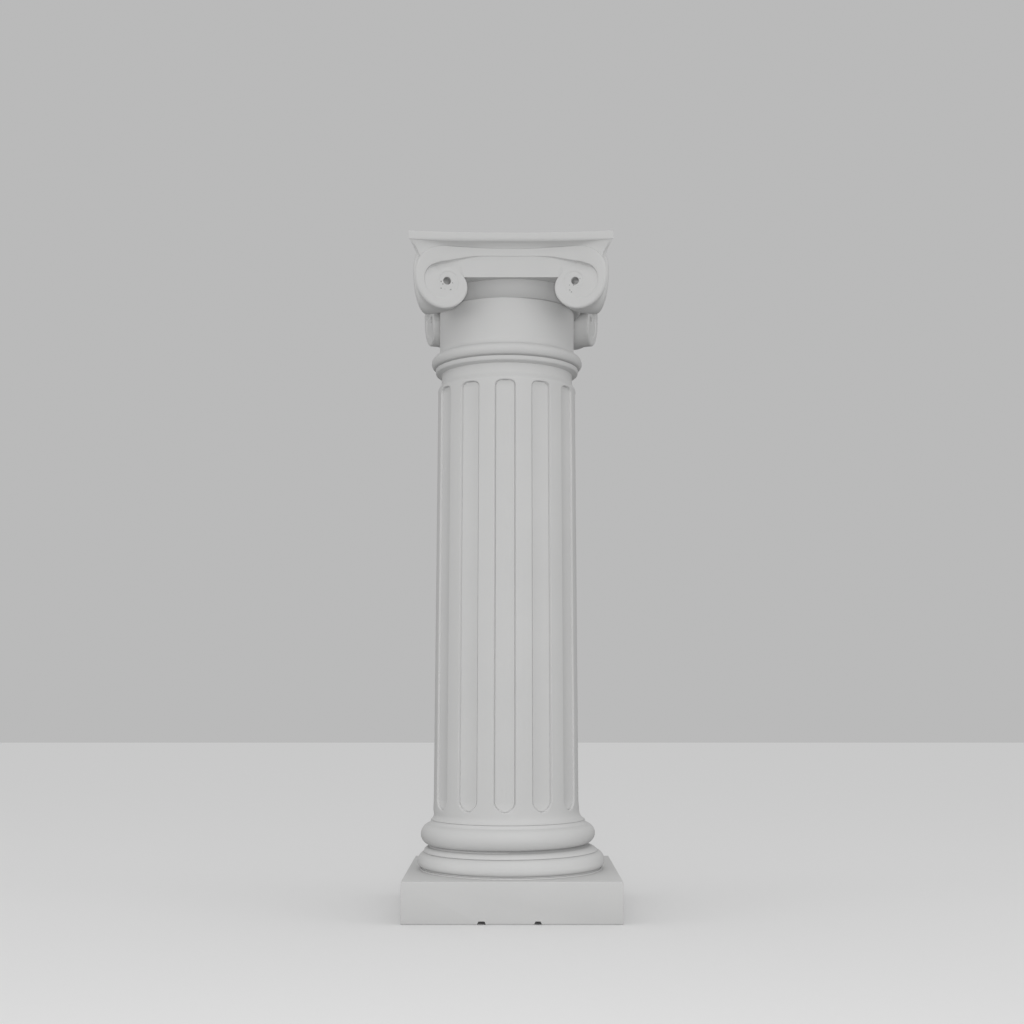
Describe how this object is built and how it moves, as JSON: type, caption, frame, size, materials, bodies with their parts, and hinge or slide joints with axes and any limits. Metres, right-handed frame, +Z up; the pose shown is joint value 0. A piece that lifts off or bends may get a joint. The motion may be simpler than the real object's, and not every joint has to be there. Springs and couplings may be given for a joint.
{
  "type": "roman column",
  "caption": "Small Roman column: square plinth, two-torus base, tapered fluted shaft, astragal and neck, and a capital with corner volutes under a hollowed abacus",
  "frame": {"origin": "middle of the square plinth's underside, which stands on the ground", "axes": "+Z is up the column; the front, with the two small notches in the plinth's bottom edge, faces -Y; +X is to the right of the front"},
  "size_m": [0.288, 0.288, 0.9015],
  "materials": {
    "plaster": "matte light grey cast plaster"
  },
  "bodies": {
    "root": {"base": "plaster", "shaft": "plaster", "capital": "plaster"}
  },
  "joints": []
}
